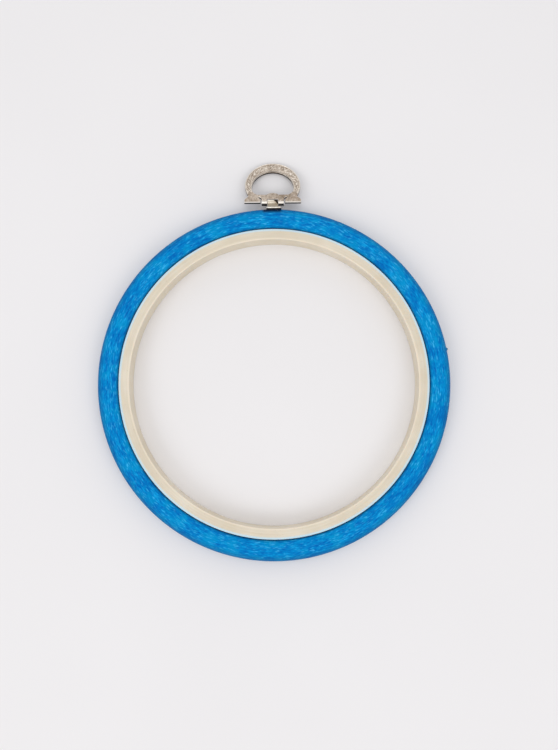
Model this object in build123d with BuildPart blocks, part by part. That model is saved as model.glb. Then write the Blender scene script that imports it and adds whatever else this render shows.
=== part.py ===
from build123d import *
from math import asin, atan2, cos, degrees, hypot, sin
import os

# Embroidery hoop: a rigid inner ring, a flexible outer ring pressed over it, and a half-moon
# hanger hinged on a folded metal strap that goes through the outer ring.
# The hoop lies flat on its back. +Z is the axis of the rings, +Y points to the hanger, and the
# origin is on the axis, in the plane that the hoop rests on. Lengths are in millimetres.

# Inner ring
bore_radius = 61.8
inner_wall = 4.5
inner_height = 9.5
bore_edge_radius = 0.35
rim_edge_radius = 0.3
lip_width = 0.9
lip_height = 1.2

# Outer ring
fabric_gap = 0.25
lip_gap = 0.1
outer_ring_width = 9.45
outer_ring_height = 10.0
shoulder_drop = 1.05
shoulder_edge_radius = 0.4

# Hinge pin and the strap folded round it
pin_radius = 0.5
pin_end_edge = 0.12
pin_running_gap = 0.06
strap_sheet = 0.85
strap_width = 4.5
strap_fold_gap = 0.06
strap_slot_gap = 0.05
flap_length = 1.7
flap_recess_gap = 0.15
clip_width = 1.6
clip_length = 1.5

# Washer between the strap's eye and the outer ring, which has slid a little to the right
washer_width = 6.5
washer_height = 5.8
washer_thickness = 0.65
washer_corner_radius = 0.6
washer_edge = 0.15
washer_shift = 0.5
neck_length = 1.13

# Hanger plate, measured along the plate from the pin's axis
hanger_reach = 19.6
hanger_thickness = 1.1
arch_half_width = 12.25
arch_widest_at = 8.0
waist_half_width = 10.6
waist_at = 2.75
waist_radius = 0.7
foot_half_width = 12.45
foot_bottom = -0.6
foot_height = 1.65
foot_radius = 0.35
foot_edge_radius = 0.2
hole_top = 15.05
hole_half_width = 9.2
hole_corner_radius = 3.2
hole_bottom = 3.45
bump_half_width = 2.6
bump_height = 0.9
slit_width = 0.5
slit_straight = 0.55
slit_lean = 0.85
slit_height = 1.95
edge_bevel = 0.18

# Rolled knuckles of the hanger
knuckle_sheet = 0.8
knuckle_width = 2.4
knuckle_side_gap = 0.2
pin_seat_gap = 0.01
window_gap = 0.2
window_reach = 1.0

# Length by which a cut runs past the faces that it goes through
overrun = 2.0

os.makedirs("parts", exist_ok=True)

# Sizes that follow from the ones above
inner_outer_radius = bore_radius + inner_wall
lip_radius = inner_outer_radius + lip_width
socket_radius = inner_outer_radius + fabric_gap
rebate_radius = lip_radius + fabric_gap
rebate_height = lip_height + lip_gap
outer_radius = socket_radius + outer_ring_width
bulge_radius = outer_ring_height / 2
crown_radius = outer_radius - bulge_radius

eye_bore = pin_radius + pin_running_gap
eye_radius = eye_bore + strap_sheet
strap_stack = 2 * strap_sheet + strap_fold_gap
pin_y = outer_radius + washer_thickness + neck_length + eye_radius
pin_z = outer_ring_height / 2

knuckle_bore = pin_radius + pin_seat_gap
knuckle_radius = knuckle_bore + knuckle_sheet
knuckle_start = strap_width / 2 + knuckle_side_gap
knuckle_end = knuckle_start + knuckle_width
slit_centre = knuckle_end + slit_width / 2
hole_widest_at = hole_bottom + hole_corner_radius

# The plate's upper face is tangent to the knuckles, and the plate droops until the lower edge
# of its tip lies in the plane z = 0, as the photographed hoop does on its table.
plate_low = knuckle_radius - hanger_thickness
droop = asin(pin_z / hypot(hanger_reach, plate_low)) + atan2(plate_low, hanger_reach)
hinge_plane = Plane(origin=(0, pin_y, pin_z), x_dir=(1, 0, 0), z_dir=(0, sin(droop), cos(droop)))


def on_hinge(x):
    """Plane across the pin at a distance x along it, with its origin on the pin's axis."""
    return Plane(origin=(x, pin_y, pin_z), x_dir=(0, 1, 0), z_dir=(1, 0, 0))


def is_rim(edge):
    """Whether an edge of the hanger lies on its outline or its hole, away from the tabs."""
    place = hinge_plane.to_local_coords(edge.center())
    return place.Y >= hole_bottom or abs(place.X) > slit_centre + slit_lean


# Inner ring: a straight tube with a small lip round its back edge, which the outer ring
# seats on. The bore's back edge is sharp and its front edge is rounded.
with BuildPart() as inner_ring:
    with BuildSketch(Plane.XZ) as inner_section:
        with BuildLine():
            Polyline(
                (bore_radius, 0),
                (lip_radius, 0),
                (lip_radius, lip_height),
                (inner_outer_radius, lip_height),
                (inner_outer_radius, inner_height),
                (bore_radius, inner_height),
                close=True,
            )
        make_face()
        fillet(inner_section.vertices().group_by(Axis.Y)[-1].sort_by(Axis.X)[0], bore_edge_radius)
        fillet(inner_section.vertices().group_by(Axis.Y)[-1].sort_by(Axis.X)[-1], rim_edge_radius)
    revolve(axis=Axis.Z)
inner_ring.part.label = "inner_ring"

# Outer ring: a half-round outside, a gently falling front towards the seam, a rebate for the
# inner ring's lip, a slot for the strap's legs and a recess in the bore for its clinched ends.
recess_floor = socket_radius + flap_recess_gap + strap_sheet
with BuildPart() as outer_ring:
    with BuildSketch(Plane.XZ) as outer_section:
        with BuildLine():
            Line((rebate_radius, 0), (crown_radius, 0))
            ThreePointArc(
                (crown_radius, 0), (outer_radius, bulge_radius), (crown_radius, outer_ring_height)
            )
            TangentArc(
                (crown_radius, outer_ring_height),
                (socket_radius, outer_ring_height - shoulder_drop),
                tangent=(-1, 0),
            )
            Polyline(
                (socket_radius, outer_ring_height - shoulder_drop),
                (socket_radius, rebate_height),
                (rebate_radius, rebate_height),
                (rebate_radius, 0),
            )
        make_face()
        socket_corners = outer_section.vertices().group_by(Axis.X)[0].sort_by(Axis.Y)
        fillet(socket_corners[-1], shoulder_edge_radius)
    revolve(axis=Axis.Z)
    with Locations((0, (socket_radius + outer_radius) / 2, pin_z)):
        Box(
            strap_width + 2 * strap_slot_gap,
            outer_ring_width + 2 * overrun,
            strap_stack + 2 * strap_slot_gap,
            mode=Mode.SUBTRACT,
        )
    with Locations((0, recess_floor, pin_z)):
        Box(
            strap_width + 2 * strap_slot_gap,
            strap_sheet + flap_recess_gap + overrun,
            strap_stack + 2 * flap_length + 2 * strap_slot_gap,
            align=(Align.CENTER, Align.MAX, Align.CENTER),
            mode=Mode.SUBTRACT,
        )
outer_ring.part.label = "outer_ring"

# Eye strap: one strip folded round the pin, with both legs through the outer ring and their
# ends bent apart in its bore. The front right corner of the fold is clipped off, as in the
# photograph, and shows the pin.
leg_inner_end = recess_floor - strap_sheet
with BuildPart() as eye_strap:
    with BuildSketch(on_hinge(0)):
        Circle(eye_radius)
        with Locations((leg_inner_end - pin_y, 0)):
            Rectangle(pin_y - leg_inner_end, strap_stack, align=(Align.MIN, Align.CENTER))
            Rectangle(
                strap_sheet, strap_stack + 2 * flap_length, align=(Align.MIN, Align.CENTER)
            )
        Circle(eye_bore, mode=Mode.SUBTRACT)
        Rectangle(
            pin_y - leg_inner_end + overrun,
            strap_fold_gap,
            align=(Align.MAX, Align.CENTER),
            mode=Mode.SUBTRACT,
        )
    extrude(amount=strap_width / 2, both=True)
    with BuildSketch(Plane.XY.offset(pin_z)):
        with BuildLine():
            Polyline(
                (strap_width / 2 - clip_width, pin_y + eye_radius),
                (strap_width / 2, pin_y + eye_radius - clip_length),
                (strap_width / 2 + overrun, pin_y + eye_radius - clip_length),
                (strap_width / 2 + overrun, pin_y + eye_radius + overrun),
                (strap_width / 2 - clip_width, pin_y + eye_radius + overrun),
                close=True,
            )
        make_face()
    extrude(amount=eye_radius + overrun, mode=Mode.SUBTRACT)
eye_strap.part.label = "eye_strap"

# Base washer: a slotted plate with rounded corners on the legs, between the eye and the ring.
# It takes the strap's pull and bears on the ring's bulge on both sides of the slot.
with BuildPart() as base_washer:
    with BuildSketch(Plane(origin=(0, outer_radius, pin_z), x_dir=(1, 0, 0), z_dir=(0, 1, 0))):
        with Locations((washer_shift, 0)):
            RectangleRounded(washer_width, washer_height, washer_corner_radius)
        Rectangle(
            strap_width + 2 * strap_slot_gap,
            strap_stack + 2 * strap_slot_gap,
            mode=Mode.SUBTRACT,
        )
    extrude(amount=washer_thickness)
    chamfer(base_washer.faces().sort_by(Axis.Y)[-1].outer_wire().edges(), washer_edge)
base_washer.part.label = "base_washer"

# Hinge pin: a plain rod held in the hanger's knuckles and turning in the strap's eye.
with BuildPart() as hinge_pin:
    with BuildSketch(on_hinge(0)):
        Circle(pin_radius)
    extrude(amount=knuckle_end, both=True)
    chamfer(hinge_pin.edges().filter_by(GeomType.CIRCLE), pin_end_edge)
hinge_pin.part.label = "hinge_pin"

# Hanger: a stamped plate. Its arch is half an ellipse round a half-moon hole, its two feet
# flare out below a waist, and two leaning slits part the feet from the tabs that are rolled
# round the pin. A window between the tabs, hollowed round the pin's axis, clears the strap's
# eye at every angle.
with BuildPart() as hanger:
    with BuildSketch(hinge_plane.offset(plate_low)) as plate:
        with BuildLine():
            arch = EllipticalCenterArc(
                (0, arch_widest_at), arch_half_width, hanger_reach - arch_widest_at
            )
            side = TangentArc(
                (arch_half_width, arch_widest_at), (waist_half_width, waist_at), tangent=(0, -1)
            )
            Polyline(
                side @ 1,
                (foot_half_width, foot_bottom + foot_height),
                (foot_half_width, foot_bottom),
                (slit_centre, foot_bottom),
                (slit_centre, 0),
                (0, 0),
                arch @ 1,
            )
        make_face()
        for place, radius in (
            ((foot_half_width, foot_bottom + foot_height), foot_radius),
            ((foot_half_width, foot_bottom), foot_edge_radius),
            ((waist_half_width, waist_at), waist_radius),
        ):
            fillet(plate.vertices().sort_by_distance(place)[0], radius)
        with BuildLine():
            hole_arch = EllipticalCenterArc(
                (0, hole_widest_at), hole_half_width, hole_top - hole_widest_at
            )
            hole_corner = TangentArc(
                (hole_half_width, hole_widest_at),
                (hole_half_width - hole_corner_radius, hole_bottom),
                tangent=(0, -1),
            )
            Line(hole_corner @ 1, (bump_half_width, hole_bottom))
            bump = TangentArc(
                (0, hole_bottom + bump_height), (bump_half_width, hole_bottom), tangent=(1, 0)
            )
            Line(bump @ 0, hole_arch @ 1)
        make_face(mode=Mode.SUBTRACT)
        with BuildLine() as slit:
            slit_foot = Line((slit_centre, -overrun), (slit_centre, slit_straight))
            TangentArc(
                slit_foot @ 1, (slit_centre + slit_lean, slit_height), tangent=slit_foot % 1
            )
        trace(slit.line, line_width=slit_width, mode=Mode.SUBTRACT)
        with Locations((slit_centre + slit_lean, slit_height)):
            Circle(slit_width / 2, mode=Mode.SUBTRACT)
        Rectangle(
            knuckle_start, window_reach, align=(Align.MIN, Align.MIN), mode=Mode.SUBTRACT
        )
        mirror(about=Plane.YZ)
    extrude(amount=hanger_thickness)
    upper_face = hanger.faces().sort_by(Axis(hinge_plane.origin, hinge_plane.z_dir))[-1]
    chamfer(upper_face.edges().filter_by(is_rim), edge_bevel)
    with BuildSketch(on_hinge(-knuckle_start)):
        Circle(eye_radius + window_gap)
    extrude(amount=2 * knuckle_start, mode=Mode.SUBTRACT)
    for start in (knuckle_start, -knuckle_end):
        with BuildSketch(on_hinge(start)):
            Circle(knuckle_radius)
        extrude(amount=knuckle_width)
    for start in (knuckle_start, -knuckle_end):
        with BuildSketch(on_hinge(start)):
            Circle(knuckle_bore)
        extrude(amount=knuckle_width, mode=Mode.SUBTRACT)
hanger.part.label = "hanger"

pieces = (inner_ring, outer_ring, eye_strap, base_washer, hinge_pin, hanger)
for piece in pieces:
    export_step(piece.part, f"parts/{piece.part.label}.step")
    box = piece.part.bounding_box()
    print(piece.part.label, len(piece.part.solids()), "solid", "volume", round(piece.part.volume, 1))
    print("  from", box.min, "to", box.max)
print("pin axis at y", round(pin_y, 3), "z", round(pin_z, 3), "droop", round(degrees(droop), 2))
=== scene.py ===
import bpy
import numpy as np
from mathutils import Euler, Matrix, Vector


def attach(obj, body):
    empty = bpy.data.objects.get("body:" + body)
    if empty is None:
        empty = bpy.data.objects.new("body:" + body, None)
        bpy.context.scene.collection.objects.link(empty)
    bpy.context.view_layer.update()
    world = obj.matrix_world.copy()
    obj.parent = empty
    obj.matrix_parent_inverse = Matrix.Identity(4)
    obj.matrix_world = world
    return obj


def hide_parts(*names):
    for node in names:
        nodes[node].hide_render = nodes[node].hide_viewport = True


# An embroidery hoop lying on its back: a cream inner ring, a streaked blue vinyl ring pressed
# over it, and a stamped half-moon hanger on a folded strap at +Y.
# The hoop's sizes are in millimetres and turned to metres where a mesh or a mask is made. The
# camera, the table and the lamps are in metres.

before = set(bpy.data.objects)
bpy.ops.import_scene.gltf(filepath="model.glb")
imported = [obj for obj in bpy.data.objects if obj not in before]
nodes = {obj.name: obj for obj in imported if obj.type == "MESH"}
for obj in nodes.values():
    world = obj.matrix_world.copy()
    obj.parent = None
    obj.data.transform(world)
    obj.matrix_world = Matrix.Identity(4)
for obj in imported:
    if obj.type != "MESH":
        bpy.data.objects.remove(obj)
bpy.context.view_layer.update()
MM = 0.001


# Camera

camera = bpy.data.objects.new("camera", bpy.data.cameras.new("camera"))
camera.location = (0.00217, -0.0176, 0.3056)
camera.rotation_euler = Euler((0.0692, 0.0007, -0.0082))
camera.data.lens = 33.44
camera.data.sensor_width = 36
bpy.context.collection.objects.link(camera)
bpy.context.scene.camera = camera
bpy.context.scene.view_settings.view_transform = "Standard"


# Surfaces
# A straight run of an outline has a point EDGE_POINT from each of its ends, so that it is shaded
# flat, and others about RUN apart. Edges sharper than CORNER_ANGLE degrees are shaded as corners.

EDGE_POINT, RUN = 0.08, 1.0
CORNER_STEPS = 6
CORNER_ANGLE = 40


def grid_faces(rows, columns, close_rows=False, close_columns=False):
    """Four-sided faces of a grid of points that is numbered row by row.
    A closed direction joins its last line of points to its first."""
    row = np.arange(rows if close_rows else rows - 1)[:, None]
    column = np.arange(columns if close_columns else columns - 1)[None, :]
    next_row, next_column = (row + 1) % rows, (column + 1) % columns
    corners = (
        row * columns + column,
        next_row * columns + column,
        next_row * columns + next_column,
        row * columns + next_column,
    )
    return np.stack(np.broadcast_arrays(*corners), -1).reshape(-1, 4)


def add_surface(name, points, close_rows=False, close_columns=False, caps=False):
    """Mesh object of a grid of points in millimetres. With caps, the first and last rows are
    filled with one flat face each."""
    rows, columns = points.shape[:2]
    faces = grid_faces(rows, columns, close_rows, close_columns).tolist()
    if caps:
        faces.append(list(range(columns)))
        faces.append(list(range(rows * columns - 1, (rows - 1) * columns - 1, -1)))
    mesh = bpy.data.meshes.new(name)
    mesh.from_pydata((points.reshape(-1, 3) * MM).tolist(), [], faces)
    mesh.polygons.foreach_set("use_smooth", np.ones(len(faces), bool))
    mesh.set_sharp_from_angle(angle=np.radians(CORNER_ANGLE))
    mesh.update()
    piece = bpy.data.objects.new(name, mesh)
    bpy.context.collection.objects.link(piece)
    return piece


def straight_run(start, finish):
    """Points inside a straight line, without its ends. A line that is too short has none."""
    start, finish = np.array(start, float), np.array(finish, float)
    length = np.linalg.norm(finish - start)
    if length < 3 * EDGE_POINT:
        return np.zeros((0, 2))
    share = np.linspace(EDGE_POINT, length - EDGE_POINT, max(2, int(length / RUN) + 1)) / length
    return start + (finish - start) * share[:, None]


def arc(centre, radius, start, finish, count):
    """So many points of an arc from one angle to another, in degrees: the centre plus the
    radius times (cos a, sin a)."""
    angle = np.radians(np.linspace(start, finish, count))
    return np.array(centre) + radius * np.stack([np.cos(angle), np.sin(angle)], 1)


def rounded_section(corners):
    """Closed outline through corners (r, z, fillet radius), taken in order. Each corner is an
    arc of that radius, tangent to both of its sides, with a straight run to the next one."""
    places = np.array([c[:2] for c in corners], float)
    radii = np.array([c[2] for c in corners], float)
    before = np.roll(places, 1, 0) - places
    after = np.roll(places, -1, 0) - places
    before /= np.linalg.norm(before, axis=1)[:, None]
    after /= np.linalg.norm(after, axis=1)[:, None]
    half = np.arccos(np.clip((before * after).sum(1), -1, 1)) / 2
    starts = places + before * (radii / np.tan(half))[:, None]
    ends = places + after * (radii / np.tan(half))[:, None]
    middle = before + after
    middle /= np.linalg.norm(middle, axis=1)[:, None]
    centres = places + middle * (radii / np.sin(half))[:, None]
    outline = []
    for i in range(len(corners)):
        first = np.arctan2(*(starts[i] - centres[i])[::-1])
        last = np.arctan2(*(ends[i] - centres[i])[::-1])
        turn = (last - first + np.pi) % (2 * np.pi) - np.pi
        angle = first + turn * np.linspace(0, 1, CORNER_STEPS + 1)
        outline.append(centres[i] + radii[i] * np.stack([np.cos(angle), np.sin(angle)], 1))
        outline.append(straight_run(ends[i], starts[(i + 1) % len(corners)]))
    return np.concatenate(outline)


def turned(section, angles):
    """Surface of revolution about Z: a point (r, z) of the section goes to
    (r cos a, r sin a, z) for each angle a. Rows are angles and columns are section points."""
    r, z = section[:, 0], section[:, 1]
    a = angles[:, None]
    return np.stack([r * np.cos(a), r * np.sin(a), np.broadcast_to(z, (len(angles), len(z)))], -1)


# Inner ring
# Sizes of both rings are radii from their axis and heights above their back.

BORE, TUBE, LIP = 61.8, 66.3, 67.2
INNER_HEIGHT, LIP_HEIGHT = 9.5, 1.2
BORE_BACK_EDGE, BORE_FRONT_EDGE = 0.05, 0.35
TUBE_FRONT_EDGE, TUBE_ROOT, LIP_EDGE = 0.3, 0.1, 0.15
ROUND_STEP = 0.5


def make_inner_ring():
    """A straight tube with a small lip at its back edge and a softly rounded front."""
    section = rounded_section([
        (BORE, 0, BORE_BACK_EDGE),
        (LIP, 0, LIP_EDGE),
        (LIP, LIP_HEIGHT, LIP_EDGE),
        (TUBE, LIP_HEIGHT, TUBE_ROOT),
        (TUBE, INNER_HEIGHT, TUBE_FRONT_EDGE),
        (BORE, INNER_HEIGHT, BORE_FRONT_EDGE),
    ])
    angles = np.radians(np.arange(0, 360, ROUND_STEP))
    return add_surface("inner_tube", turned(section, angles), True, True)


# Outer ring

SOCKET, OUTSIDE, OUTER_HEIGHT = 66.55, 76.0, 10.0
BULGE = OUTER_HEIGHT / 2
CROWN = OUTSIDE - BULGE

# The front falls from the crown in an arc of radius FALL, up to FALL_END degrees, where a small
# arc rounds it into the socket wall.
FALL, FALL_END = 9.954, 115.1
SHOULDER, SHOULDER_Z = 0.4, 8.699

# The rebate clears the inner ring's lip. Its outline is cut from a larger one, whose first and
# last corners lie outside the section.
REBATE, REBATE_HEIGHT, REBATE_EDGE = 67.45, 1.3, 0.1
REBATE_START, REBATE_FINISH = (66.5, REBATE_HEIGHT, 0.02), (69, -1, REBATE_EDGE)

# The recess for the ends of the strap is at +Y. Two lines of points make each of its edges
# sharp: they lie a HAIR, in millimetres or degrees, to either side of it. The ring's other
# lines of points keep RECESS_SPACING degrees away from them.
STRAP_ANGLE = 90
RECESS_HALF_WIDTH, RECESS_HALF_HEIGHT, RECESS_FLOOR = 2.3, 2.63, 67.55
HAIR = 0.01
RECESS_SPACING = 0.2

# Heights of the other points of the socket wall: above the recess, in it and below it
WALL_ABOVE, WALL_TOP, WALL_BOTTOM, WALL_BELOW = (8.62, 8.1), 7.2, 2.8, (1.9, 1.4)

# The moulding nub near +X: its angle in degrees, its height above the back, half its width
# round the ring, half its length up it, and how far it stands out. Only the outside, past the
# radius NUB_FROM, has it.
NUB_ANGLE, NUB_Z = 10.4, 5.6
NUB_HALF_WIDTH, NUB_HALF_LENGTH, NUB_REACH = 0.6, 0.9, 0.75
NUB_FROM = 75


def outer_section():
    """Half-round outside, then the arc that falls from the crown towards the seam, the rounded
    shoulder, the socket wall, and the rebate for the lip."""
    recess_top, recess_bottom = BULGE + RECESS_HALF_HEIGHT, BULGE - RECESS_HALF_HEIGHT
    wall = np.concatenate([
        WALL_ABOVE,
        [recess_top + HAIR, recess_top - HAIR],
        np.linspace(WALL_TOP, WALL_BOTTOM, num=6),
        [recess_bottom + HAIR, recess_bottom - HAIR],
        WALL_BELOW,
        [REBATE_HEIGHT],
    ])
    rebate = rounded_section([
        REBATE_START,
        (REBATE, REBATE_HEIGHT, REBATE_EDGE),
        (REBATE, 0, REBATE_EDGE),
        REBATE_FINISH,
    ])
    r, z = rebate[:, 0], rebate[:, 1]
    return np.concatenate([
        straight_run((REBATE + REBATE_EDGE, 0), (CROWN, 0)),
        arc((CROWN, BULGE), BULGE, -90, 90, count=49),
        arc((CROWN, OUTER_HEIGHT - FALL), FALL, 90, FALL_END, count=25)[1:],
        arc((SOCKET + SHOULDER, SHOULDER_Z), SHOULDER, FALL_END, 180, count=8)[1:],
        np.stack([np.full(len(wall), SOCKET), wall], 1),
        rebate[(r > SOCKET + HAIR) & (r < REBATE + HAIR) & (z > 0)],
    ])


def make_outer_ring():
    """The turned section, with a recess pushed into its bore: there every point of the socket
    wall moves out to the recess's floor. At a distance d from the middle of the nub, measured
    in its own half sizes, the outside is pushed out by the nub's reach times 1 - d squared."""
    section = outer_section()
    r, z = section[:, 0], section[:, 1]
    half_angle = np.degrees(np.arcsin(RECESS_HALF_WIDTH / SOCKET))
    edges = STRAP_ANGLE + half_angle * np.array([-1, 1])
    angles = np.arange(0, 360, ROUND_STEP)
    angles = angles[(np.abs(angles[:, None] - edges) > RECESS_SPACING).all(1)]
    angles = np.sort(np.concatenate([angles, edges - HAIR, edges + HAIR]))
    points = turned(section, np.radians(angles))
    wall = np.isclose(r, SOCKET) & (np.abs(z - BULGE) < RECESS_HALF_HEIGHT)
    recess = (np.abs(angles - STRAP_ANGLE) < half_angle)[:, None] & wall
    points[..., 1] = np.where(recess, RECESS_FLOOR, points[..., 1])
    round_ring = np.radians(angles[:, None] - NUB_ANGLE) * OUTSIDE / NUB_HALF_WIDTH
    away = np.hypot(round_ring, (z - NUB_Z) / NUB_HALF_LENGTH)
    push = NUB_REACH * np.clip(1 - away**2, 0, 1) * (r > NUB_FROM)
    points[..., :2] *= (1 + push / OUTSIDE)[..., None]
    return add_surface("vinyl_ring", points, True, True)


# Hanger
# Places on the plate are (u, v, n): u along the pin, v along the plate and n up from it. The
# plate's upper face is level with the crests of its knuckles.

PIN_Y, PIN_Z, DROOP = 79.19, 5.0, np.radians(15.39)
KNUCKLE = 1.31
PLATE_TOP = KNUCKLE
FOOT_BOTTOM = -0.6
SLIT = 5.1

# The arch and the hole in it: half width, the place where they are widest, their top, and the
# radius that turns their sides inwards below the widest place
ARCH = (12.25, 8.0, 19.6, 9.177)
HOLE = (9.2, 6.65, 15.05, 3.2)


def on_plate(u, v, n):
    """(u, v, n) on the hanger's plate, turned down by its droop about the pin, as (x, y, z)."""
    y = PIN_Y + v * np.cos(DROOP) + n * np.sin(DROOP)
    z = PIN_Z - v * np.sin(DROOP) + n * np.cos(DROOP)
    return np.stack(np.broadcast_arrays(u, y, z), -1)


def arch_edge(angle, half_width, widest_at, top, turn):
    """One edge of the arch at an angle round it, 0 at its right side and 90 degrees at its top.
    Above its widest place it is an ellipse, (a cos, v + b sin), and below it each side is an
    arc of radius `turn` that curves inwards."""
    c, s = np.cos(angle), np.sin(angle)
    u = np.where(s >= 0, half_width * c, np.sign(c) * (half_width - turn + turn * np.abs(c)))
    v = widest_at + np.where(s >= 0, top - widest_at, turn) * s
    return np.stack([u, v], -1)


# Stamped pattern of the arch
# Sizes are radii or half widths, and heights are above the ground between the forms. An OFF is
# a distance from the middle of the arch, and a SOFTNESS is the width over which a form fades.

GROUND = 0.03
RIM, RIM_INSET, RIM_HEIGHT = 0.24, 0.34, 0.204
VINE, VINE_HEIGHT, VINE_SWING_SHARE = 0.2, 0.13, 0.52
BERRY, BERRY_OFF = 0.34, 0.35
LEAF_LENGTH, LEAF_WIDTH, LEAF_TURN = 0.62, 0.26, 0.5
LEAF_ALONG, LEAF_OFF, LEAF_HEIGHT = 0.95, 0.62, 0.17
PETALS, PETAL_LENGTH, PETAL_HEIGHT = 6, 1.2, 0.16
PETAL_ROOT, PETAL_SOFTNESS = 0.52, 0.15
BUTTON, BUTTON_HEIGHT = 0.5, 0.27
CLEARING, CLEARING_SOFTNESS = 1.15, 0.25
ROSETTES, ROSETTE_STEP = 6, 5.95

# The skin that carries the pattern: the angles that it spans, its points along and across the
# arch, the part of the arch's width that it covers, and how it sinks into the plate
SKIN_ANGLES, SKIN_ROWS, SKIN_COLUMNS = (-31, 211), 1000, 64
SKIN_SHARES = (0.07, 0.93)
END_LENGTH, END_DEPTH, UNDER_DEPTH = 0.5, 0.04, 0.06
UNDER_STEP = 9


def dome(distance):
    """Profile of a dome: the square root of 1 - d squared, and 0 past a distance of 1."""
    return np.sqrt(np.clip(1 - distance**2, 0, 1))


def domes(s, q, places):
    """Highest of several domes of height 1, each with its middle, its half length and half
    width, and the angle that it is turned by."""
    tall = np.zeros_like(s)
    for along, across, length, width, turn in places:
        x = (s - along) * np.cos(turn) + (q - across) * np.sin(turn)
        y = (q - across) * np.cos(turn) - (s - along) * np.sin(turn)
        tall = np.maximum(tall, dome(np.hypot(x / length, y / width)))
    return tall


def leaf_places(rosettes, step):
    """A berry and two leaves in each of the two bends of the vine between one rosette and the
    next, as domes. The leaves lean towards the berry."""
    places = []
    for start in np.append(rosettes, rosettes[0] - step):
        for bend, way in ((0.25, 1), (0.75, -1)):
            along = start + bend * step
            places.append((along, -way * BERRY_OFF, BERRY, BERRY, 0.0))
            for side in (-1, 1):
                place = along + side * LEAF_ALONG
                turn = -side * way * LEAF_TURN
                places.append((place, -way * LEAF_OFF, LEAF_LENGTH, LEAF_WIDTH, turn))
    return places


def relief_height(s, q, half_width, rosettes):
    """Height of the stamped pattern at s along the arch and q across it: two rims, a vine that
    swings from side to side with the sine of s between one rosette and the next, berries and
    leaves in its bends, and rosettes of six petals round a button."""
    edge = half_width - RIM_INSET
    rim = RIM_HEIGHT * np.maximum(dome((q - edge) / RIM), dome((q + edge) / RIM))
    step = rosettes[1] - rosettes[0]
    phase = 2 * np.pi * (s - rosettes[0]) / step
    swing = VINE_SWING_SHARE * half_width
    slope = swing * 2 * np.pi / step * np.cos(phase)
    off = (q - swing * np.sin(phase)) / np.sqrt(1 + slope**2)
    vine = VINE_HEIGHT * dome(off / VINE)
    leaves = LEAF_HEIGHT * domes(s, q, leaf_places(rosettes, step))
    flower = np.zeros_like(s)
    for middle in rosettes:
        d = np.hypot(s - middle, q)
        turn = np.arctan2(q, s - middle)
        petals = PETAL_HEIGHT * (0.5 + 0.5 * np.cos(PETALS * turn)) * dome(d / PETAL_LENGTH)
        petals *= np.clip((d - PETAL_ROOT) / PETAL_SOFTNESS, 0, 1)
        button = BUTTON_HEIGHT * dome(d / BUTTON)
        flower = np.maximum(flower, np.maximum(petals, button))
        clear = np.clip((d - CLEARING) / CLEARING_SOFTNESS, 0, 1)
        vine, leaves = vine * clear, leaves * clear
    return GROUND + np.maximum(np.maximum(rim, vine), np.maximum(leaves, flower))


def make_relief():
    """A skin on the arch's upper face: across it a straight line from the inner to the outer
    edge, along it the angle, and its height the stamped pattern. It closes under the face."""
    angle = np.radians(np.linspace(*SKIN_ANGLES, SKIN_ROWS))
    outer, inner = arch_edge(angle, *ARCH), arch_edge(angle, *HOLE)
    middle = (outer + inner) / 2
    s = np.concatenate([[0], np.cumsum(np.linalg.norm(np.diff(middle, axis=0), axis=1))])
    s -= s[-1] / 2
    half_width = np.linalg.norm(outer - inner, axis=1)[:, None] / 2
    share = np.linspace(*SKIN_SHARES, SKIN_COLUMNS)[None, :]
    q = (share - 0.5) * 2 * half_width
    along = np.broadcast_to(s[:, None], q.shape)
    rosettes = (np.arange(ROSETTES) - (ROSETTES - 1) / 2) * ROSETTE_STEP
    end = np.clip((s[-1] - np.abs(along)) / END_LENGTH, 0, 1)
    height = relief_height(along, q, half_width, rosettes)
    n = PLATE_TOP - END_DEPTH + (height + END_DEPTH) * end
    flat = inner[:, None, :] + (outer - inner)[:, None, :] * share[..., None]
    skin = on_plate(flat[..., 0], flat[..., 1], n)
    below = flat[:, ::-UNDER_STEP]
    under = on_plate(below[..., 0], below[..., 1], PLATE_TOP - UNDER_DEPTH)
    return add_surface("hanger_relief", np.concatenate([skin, under], 1), False, True, True)


# Beads on the bar of the hanger
# The row is about as wide as the bump in the hole's lower edge and rises with it. A bead starts
# a little below the plate's face and ends in a small flat top.

BEADS, BEAD_RADIUS, BEAD_HEIGHT = 9, 0.23, 0.16
BEAD_RISE_ANGLES, BEAD_RINGS, BEAD_SIDES = (-25, 88), 9, 16
BEAD_ROW_HALF_WIDTH, BEAD_ROW_V, BEAD_ROW_RISE, BEAD_ROW_POWER = 2.5, 2.9, 0.9, 1.2


def make_bar_beads():
    """A row of small domes under the curved bump of the hole, each a half turned circle. The
    row rises by a power of the cosine, from 0 at its ends."""
    place = np.linspace(-1, 1, BEADS)
    middle_u = BEAD_ROW_HALF_WIDTH * place
    middle_v = BEAD_ROW_V + BEAD_ROW_RISE * np.cos(place * np.pi / 2) ** BEAD_ROW_POWER
    up = np.radians(np.linspace(*BEAD_RISE_ANGLES, BEAD_RINGS))[:, None]
    about = np.radians(np.linspace(0, 360, BEAD_SIDES, endpoint=False))[None, :]
    beads = []
    for i, (u, v) in enumerate(zip(middle_u, middle_v)):
        points = on_plate(
            u + BEAD_RADIUS * np.cos(up) * np.cos(about),
            v + BEAD_RADIUS * np.cos(up) * np.sin(about),
            PLATE_TOP + BEAD_HEIGHT * np.sin(up),
        )
        beads.append(add_surface(f"bar_bead_{i}", points, False, True, True))
    return beads


# Materials

# Places of the colour sockets of a Mix node, which share their names with its other sockets
MIX_FIRST, MIX_SECOND, MIX_RESULT = 6, 7, 2


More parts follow.
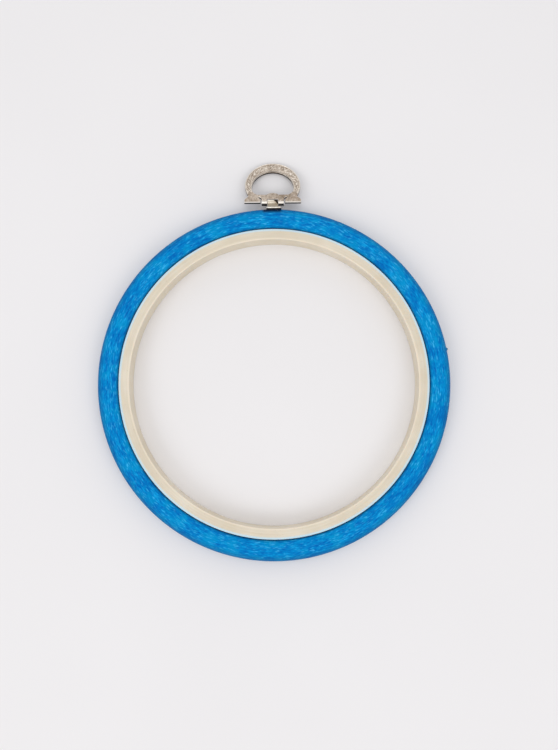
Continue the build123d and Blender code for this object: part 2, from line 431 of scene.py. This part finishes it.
class Wire:
    """A shader output that takes part in arithmetic: each operation adds a Math node."""

    def __init__(self, paint, socket):
        self.paint, self.socket = paint, socket

    def math(self, operation, *others):
        return self.paint.add("Math", {"operation": operation}, dict(enumerate([self, *others])))

    def __add__(self, other):
        return self.math("ADD", other)

    def __sub__(self, other):
        return self.math("SUBTRACT", other)

    def __mul__(self, other):
        return self.math("MULTIPLY", other)

    def __truediv__(self, other):
        return self.math("DIVIDE", other)

    def __pow__(self, other):
        return self.math("POWER", other)

    def __neg__(self):
        return self.math("MULTIPLY", -1)

    def __rsub__(self, other):
        return (-self) + other

    def __rtruediv__(self, other):
        return (self ** -1) * other

    __radd__, __rmul__ = __add__, __mul__

    def between(self, low, high):
        """0 below low, 1 above high and a straight line between them."""
        settings = {"clamp": True}
        return self.paint.add("MapRange", settings, {"Value": self, "From Min": low, "From Max": high})


class Paint:
    """The nodes of one material, with a Principled surface at their end."""

    def __init__(self, name, **plain):
        self.material = bpy.data.materials.new(name)
        self.material.use_nodes = True
        self.nodes = self.material.node_tree.nodes
        self.surface = self.nodes["Principled BSDF"]
        self.place = self.add("TexCoord", out="Object")
        self.x, self.y, self.z = (
            self.add("SeparateXYZ", {}, {"Vector": self.place}, axis) for axis in "XYZ"
        )
        self.finish(**plain)

    def add(self, kind, settings=None, sockets=None, out=0):
        """A node of this kind. Settings are made first, a ramp's stops among them, and then
        each socket gets its value or its link. Gives the output as a Wire."""
        node = self.nodes.new("ShaderNode" + kind)
        for key, value in (settings or {}).items():
            if key == "stops":
                ramp = node.color_ramp.elements
                while len(ramp) < len(value):
                    ramp.new(0.5)
                for element, (position, color) in zip(ramp, value):
                    element.position, element.color = position, (*color, 1)
            else:
                setattr(node, key, value)
        for key, value in (sockets or {}).items():
            self.feed(node.inputs[key], value)
        return Wire(self, node.outputs[out])

    def feed(self, socket, value):
        """Links a Wire to a socket, or sets the socket to a plain value."""
        if isinstance(value, Wire):
            self.material.node_tree.links.new(value.socket, socket)
        elif socket.type == "RGBA":
            socket.default_value = (*value, 1)
        else:
            socket.default_value = value

    def finish(self, **sockets):
        """Sets or links the surface's sockets, with _ for a space in their names."""
        for key, value in sockets.items():
            self.feed(self.surface.inputs[key.replace("_", " ")], value)
        return self.material

    def blend(self, factor, first, second):
        """The first colour where factor is 0 and the second where it is 1."""
        sockets = {"Factor": factor, MIX_FIRST: first, MIX_SECOND: second}
        return self.add("Mix", {"data_type": "RGBA"}, sockets, out=MIX_RESULT)

    def stain(self, color, mask, strength, shade):
        """The colour, changed to another shade by this strength where the mask is 1."""
        return self.blend(mask * strength, color, shade)

    def ramp(self, factor, *stops):
        """A colour that runs through the stops (position, colour) as the factor rises."""
        return self.add("ValToRGB", {"stops": stops}, {"Fac": factor})

    def noise(self, scale, detail=2.0, rough=0.5, place=None, fourth=None):
        """Cloudy noise with `scale` features to a metre, in four dimensions if a fourth
        coordinate is given."""
        settings = {"noise_dimensions": "3D" if fourth is None else "4D"}
        sockets = {"Vector": place or self.place, "Scale": scale, "Detail": detail, "Roughness": rough}
        if fourth is not None:
            sockets["W"] = fourth
        return self.add("TexNoise", settings, sockets)

    def radius(self):
        """Distance from the rings' axis."""
        return (self.x * self.x + self.y * self.y) ** 0.5

    def around(self, length, width, detail, rough=0.5):
        """Noise in streaks round the Z axis, about `length` long and `width` wide in
        millimetres at the rings. Its place is (cos a, sin a) times a radius in streaks, then
        r and z in widths, so it has no seam."""
        reach, per_width = CROWN / length, 1 / (width * MM)
        r = self.radius()
        vector = self.add("CombineXYZ", {}, {
            "X": self.x / r * reach, "Y": self.y / r * reach, "Z": r * per_width,
        })
        return self.noise(1.0, detail, rough, vector, self.z * per_width)

    def lines(self, along, across):
        """Noise stretched along X, with so many features to a metre along it and across it."""
        stretch = {0: self.place, 1: (along, across, across)}
        return self.noise(1.0, place=self.add("VectorMath", {"operation": "MULTIPLY"}, stretch))

    def bump(self, height, distance, strength):
        """A normal tilted by a height that rises by `distance` where the height is 1."""
        return self.add("Bump", {}, {"Height": height, "Distance": distance, "Strength": strength})


def srgb(red, green, blue):
    """A colour read as 0 to 255 in a picture, as the linear colour of a shader."""
    c = np.array([red, green, blue]) / 255
    return tuple(np.where(c <= 0.04045, c / 12.92, ((c + 0.055) / 1.055) ** 2.4).tolist())


def blue_vinyl():
    """Soft vinyl with a grain like brushed wood: pale and dark streaks that run round the ring,
    short bright flecks, and a slow change of shade. Painted shade darkens it down its outer side,
    along the seam and just below the strap's washer, as the washer's shadow. It is grey on the nub.
    The grain is felt in the bump."""
    paint = Paint("blue_vinyl_grain", Metallic=0.0, IOR=1.45, Specular_IOR_Level=0.04)
    streak = paint.around(length=6, width=0.9, detail=3.0, rough=0.6)
    fine = paint.around(length=2.0, width=0.45, detail=2.0, rough=0.6)
    fleck = paint.around(length=2.2, width=0.42, detail=1.0).between(0.57, 0.69)
    patch = paint.noise(150, detail=3.0, rough=0.6)
    tone = streak * 0.36 + fine * 0.4 + patch * 0.24
    color = paint.ramp(
        tone,
        (0.4, srgb(0, 100, 181)),
        (0.47, srgb(0, 121, 195)),
        (0.53, srgb(0, 137, 206)),
        (0.61, srgb(22, 167, 233)),
    )
    color = paint.stain(color, patch.between(0.5, 0.6), 0.55, srgb(0, 142, 199))
    color = paint.stain(color, fleck * patch.between(0.35, 0.55), 0.8, srgb(66, 186, 242))
    radius = paint.radius()
    # Painted shade: darker down the outer side of the ring, towards the table.
    flank_shade = radius.between(72.6 * MM, 75.6 * MM)
    color = paint.stain(color, flank_shade, 0.66, srgb(8, 92, 142))
    # Painted shade in the fold between the vinyl and the cream ring along the seam.
    crease_shade = 1 - radius.between(66.75 * MM, 67.9 * MM)
    color = paint.stain(color, crease_shade * crease_shade, 0.72, srgb(10, 62, 90))
    # Painted shadow of the strap's washer on the vinyl just below it.
    aside = (paint.x + 0.3 * MM).math("ABSOLUTE")
    washer_shadow = (1 - aside.between(3.4 * MM, 4.6 * MM)) * paint.y.between(73.3 * MM, 74.4 * MM)
    color = paint.stain(color, washer_shadow, 0.93, srgb(0, 26, 62))
    nub = radius.between((OUTSIDE + 0.05) * MM, (OUTSIDE + 0.2) * MM)
    color = paint.stain(color, nub, 0.85, srgb(120, 124, 122))
    rough = 0.52 - fine * 0.14 + patch * 0.06
    grain = paint.bump(fine * 0.6 + streak * 0.6 + fleck * 0.4, distance=0.14 * MM, strength=0.7)
    return paint.finish(Base_Color=color, Roughness=rough, Normal=grain)


def cream_plastic():
    """Moulded plastic that lets a little light through, slightly mottled, with faint turning
    marks and a few specks. A painted pale bluish highlight runs along its outer front corner, next
    to the blue ring, and a painted highlight makes the rounded edge of its bore a little paler than
    the flat."""
    paint = Paint("cream_plastic_satin", Metallic=0.0, IOR=1.46, Subsurface_Weight=0.35,
                  Subsurface_Radius=(1.0, 0.8, 0.6), Subsurface_Scale=1.6 * MM)
    cloud = paint.noise(60, detail=3.0)
    marks = paint.around(length=30, width=0.5, detail=2.0)
    speck = paint.noise(1400, detail=1.0).between(0.7, 0.78)
    color = paint.ramp(
        cloud * 0.6 + marks * 0.4,
        (0.36, srgb(215, 203, 181)),
        (0.5, srgb(221, 210, 190)),
        (0.64, srgb(228, 219, 202)),
    )
    color = paint.stain(color, speck, 0.35, srgb(178, 160, 130))
    radius = paint.radius()
    # Painted highlight on the rounded edge of the bore.
    bore_edge_highlight = (1 - radius.between(62.1 * MM, 62.5 * MM)) * paint.z.between(8.9 * MM, 9.2 * MM)
    color = paint.stain(color, bore_edge_highlight, 0.6, srgb(240, 228, 210))
    # Painted pale bluish highlight along the outer front corner, next to the blue ring.
    rim_highlight = radius.between(65.1 * MM, 65.8 * MM) * paint.z.between(8.8 * MM, 9.3 * MM)
    color = paint.stain(color, rim_highlight, 0.9, srgb(194, 226, 242))
    rough = 0.42 + marks * 0.12 + cloud * 0.06
    height = marks * 0.5 + paint.noise(2600, detail=2.0) * 0.5
    skin = paint.bump(height, distance=0.03 * MM, strength=0.5)
    return paint.finish(Base_Color=color, Roughness=rough, Normal=skin)


def aged_nickel():
    """Warm nickel with a faintly stippled ground. Brown patina lies in the low places of the
    stamping, and what stands above the plate is worn bright. Painted highlights brighten its
    bevels, the lower edges of its feet, the crests of its knuckles and the plate round the opening
    for the strap. The plate's cut sides are dark, partly as dull cut metal and partly as painted
    shade, and painted shade darkens the undersides of the knuckles, towards the ring."""
    paint = Paint("aged_nickel", Metallic=1.0)
    cosine, sine = float(np.cos(DROOP)), float(np.sin(DROOP))
    y, z = paint.y - PIN_Y * MM, paint.z - PIN_Z * MM
    v, n = y * cosine + z * -sine, y * sine + z * cosine
    high = n.between((PLATE_TOP + 0.04) * MM, (PLATE_TOP + 0.24) * MM)
    cloud = paint.noise(260, detail=3.0)
    stipple = paint.noise(1200, detail=2.0, rough=0.6)
    worn = (high * 0.85 + (stipple - 0.5) * 1.1 + (cloud - 0.5) * 1.0 + 0.3).between(0.0, 1.0)
    color = paint.ramp(
        worn,
        (0.0, srgb(142, 126, 110)),
        (0.35, srgb(184, 169, 154)),
        (1.0, srgb(243, 234, 222)),
    )
    normal, up = paint.add("TexCoord", out="Normal"), (0.0, sine, cosine)
    facing = paint.add("VectorMath", {"operation": "DOT_PRODUCT"}, {0: normal, 1: up}, "Value")
    away = (y * y + z * z) ** 0.5
    aside = paint.x.math("ABSOLUTE")
    tab = 1 - aside.between((SLIT - 0.1) * MM, (SLIT + 0.1) * MM)
    knuckle = (1 - away.between((KNUCKLE + 0.03) * MM, (KNUCKLE + 0.19) * MM)) * tab
    # Painted highlight on the crests of the knuckles.
    crest_highlight = knuckle * (1 - v.between(-0.1 * MM, 0.2 * MM))
    # Painted shade on the undersides of the knuckles, towards the ring.
    under = knuckle * (-y / away).between(0.46, 0.7)
    # Painted highlight along the lower edges of the feet.
    foot_edge_highlight = (1 - v.between((FOOT_BOTTOM + 0.3) * MM, (FOOT_BOTTOM + 0.5) * MM)) * (1 - tab)
    # Painted highlight on the bevels, from the way they face.
    bevel_highlight = facing.between(0.5, 0.62) * (1 - facing.between(0.8, 0.92)) * 0.55
    # Painted highlight on the plate round the opening for the strap, where it lightens the gap.
    window_highlight = (1 - away.between(1.66 * MM, 1.76 * MM)) * (1 - aside.between(2.35 * MM, 2.5 * MM))
    # All the painted highlights together.
    painted_highlight = (crest_highlight * 0.8 + foot_edge_highlight * 0.9 + window_highlight * 0.9 + bevel_highlight * (1 - tab)).between(0.0, 1.0)
    color = paint.blend(painted_highlight, color, srgb(242, 236, 228))
    # The plate's cut sides: dark partly as dull cut metal and partly as painted shade.
    dull_and_shaded = (1 - facing.math("ABSOLUTE").between(0.15, 0.5)) * (1 - knuckle) * (1 - window_highlight)
    color = paint.blend(dull_and_shaded.math("MAXIMUM", under * 0.98), color, srgb(40, 32, 26))
    rough = 0.48 - worn * 0.14 - painted_highlight * 0.12
    skin = paint.bump(stipple + cloud * 0.3, distance=0.06 * MM, strength=0.6)
    return paint.finish(Base_Color=color, Roughness=rough, Normal=skin)


def drawn_nickel(name, low, middle, high, painted_light=0.0):
    """Plain nickel strip with fine drawn lines, tarnished in three shades. Painted shade darkens its
    cut edges and its inside where it is folded round the pin. When the last argument is above 0 it
    sets the strength of painted shade where the strip turns down towards the ring, and more where
    it goes into the washer; the strip then also has a painted highlight on its far side, in the gap
    under the hanger's opening, and black painted shade round its clipped corner."""
    paint = Paint(name, Metallic=1.0)
    lines = paint.lines(700, 4200)
    cloud = paint.noise(420, detail=3.0)
    color = paint.ramp(cloud, (0.3, low), (0.5, middle), (0.7, high))
    y, z = paint.y - PIN_Y * MM, paint.z - PIN_Z * MM
    # Painted shade inside the fold round the pin and on the faces cut at the clipped corner.
    inside = 1 - ((y * y + z * z) ** 0.5).between(0.7 * MM, 0.95 * MM)
    cut = (1 - z.math("ABSOLUTE").between(0.02 * MM, 0.05 * MM)) * y.between(-0.3 * MM, -0.1 * MM)
    dark = inside.math("MAXIMUM", cut)
    if painted_light:
        # Painted shade where the strip turns down towards the ring, darker again where it goes into
        # the washer.
        turned_down_shade = 1 - y.between(-1.2 * MM, -0.55 * MM)
        color = paint.stain(color, turned_down_shade, painted_light, srgb(146, 136, 120))
        neck_shade = 1 - y.between(-1.9 * MM, -1.4 * MM)
        color = paint.stain(color, neck_shade * painted_light, 0.9, srgb(98, 90, 78))
        # Painted highlight on the far side of the fold, in the gap under the hanger.
        far_side_highlight = y.between(0.5 * MM, 0.85 * MM)
        color = paint.stain(color, far_side_highlight, 0.9, srgb(250, 244, 234))
        # Black painted shade round the clipped corner.
        clip = (paint.x + y).between(1.15 * MM, 1.4 * MM)
        dark = dark.math("MAXIMUM", clip)
    color = paint.stain(color, dark, 0.95, srgb(48, 37, 29))
    rough = 0.2 + cloud * 0.16 + lines * 0.08 + dark * 0.3
    skin = paint.bump(lines, distance=0.02 * MM, strength=0.5)
    return paint.finish(Base_Color=color, Roughness=rough, Normal=skin)


def dark_steel():
    """Rod of dull dark steel with drawn lines along it, dark partly as painted shade."""
    paint = Paint("dark_steel", Metallic=1.0)
    lines = paint.lines(500, 5200)
    color = paint.ramp(lines, (0.3, srgb(46, 36, 29)), (0.7, srgb(92, 78, 66)))
    rough = 0.42 + lines * 0.16
    skin = paint.bump(lines, distance=0.02 * MM, strength=0.5)
    return paint.finish(Base_Color=color, Roughness=rough, Normal=skin)


def pale_table():
    """Plain pale table top."""
    paint = Paint("pale_table", Roughness=0.9)
    shade = paint.noise(9, detail=2.0)
    color = paint.ramp(shade, (0.3, srgb(236, 234, 235)), (0.7, srgb(238, 236, 237)))
    return paint.finish(Base_Color=color)


# Pieces with their materials

def dress(piece, material, body=None, stands_for=()):
    """Gives a piece its material, and a new piece also its body; the CAD nodes it stands for are
    hidden.
    """
    piece.data.materials.clear()
    piece.data.materials.append(material)
    if body:
        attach(piece, body)
    if stands_for:
        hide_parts(*stands_for)


dress(make_inner_ring(), cream_plastic(), "inner", ["inner_ring"])
dress(make_outer_ring(), blue_vinyl(), "outer", ["outer_ring"])
nickel = aged_nickel()
dress(nodes["hanger"], nickel)
# The strap and the washer have copies of one nickel in two shades: the strap's darker copy is painted
# shade and the washer's paler one painted light.
dress(nodes["eye_strap"], drawn_nickel(
    "strap_nickel", srgb(168, 154, 134), srgb(200, 188, 170), srgb(228, 219, 204), painted_light=0.85))
dress(nodes["base_washer"], drawn_nickel(
    "washer_nickel", srgb(205, 196, 182), srgb(228, 222, 212), srgb(244, 240, 233)))
dress(nodes["hinge_pin"], dark_steel())
dress(make_relief(), nickel, "hanging_loop")
for bead in make_bar_beads():
    dress(bead, nickel, "hanging_loop")


# Table and light

TABLE_REACH, TABLE_Z = 3.0, -0.05 * MM


def make_table():
    """A flat square, just below the plane that the hoop rests on."""
    mesh = bpy.data.meshes.new("table")
    ways = ((-1, -1), (1, -1), (1, 1), (-1, 1))
    corners = [(x * TABLE_REACH, y * TABLE_REACH, TABLE_Z) for x, y in ways]
    mesh.from_pydata(corners, [], [(0, 1, 2, 3)])
    table = bpy.data.objects.new("table", mesh)
    bpy.context.collection.objects.link(table)
    table.data.materials.append(pale_table())
    return table


def soft_light(name, place, size, share):
    """A square lamp aimed at the origin. The table there gets `share` of the light that an
    even sky of strength 1 would give it, which is pi: a lamp of power P at a distance d and a
    height z gives it P z / (pi d cubed)."""
    lamp = bpy.data.lights.new(name, "AREA")
    away = Vector(place)
    lamp.size = size
    lamp.energy = share * np.pi**2 * away.length**3 / away.z
    holder = bpy.data.objects.new(name, lamp)
    holder.location = away
    holder.rotation_euler = away.to_track_quat("Z", "Y").to_euler()
    bpy.context.collection.objects.link(holder)


table = make_table()
soft_light("window_left", place=(-0.9, -0.7, 1.1), size=0.8, share=0.11)
soft_light("window_right", place=(0.8, -0.8, 1.2), size=0.8, share=0.09)
soft_light("window_far", place=(0.1, 1.5, 0.62), size=0.9, share=0.028)
soft_light("overhead", place=(0.0, 0.2, 1.6), size=0.9, share=0.1)

world = bpy.data.worlds.new("studio")
world.use_nodes = True
sky = world.node_tree.nodes["Background"]
sky.inputs["Color"].default_value = (0.71, 0.71, 0.715, 1)
sky.inputs["Strength"].default_value = 1.0
bpy.context.scene.world = world
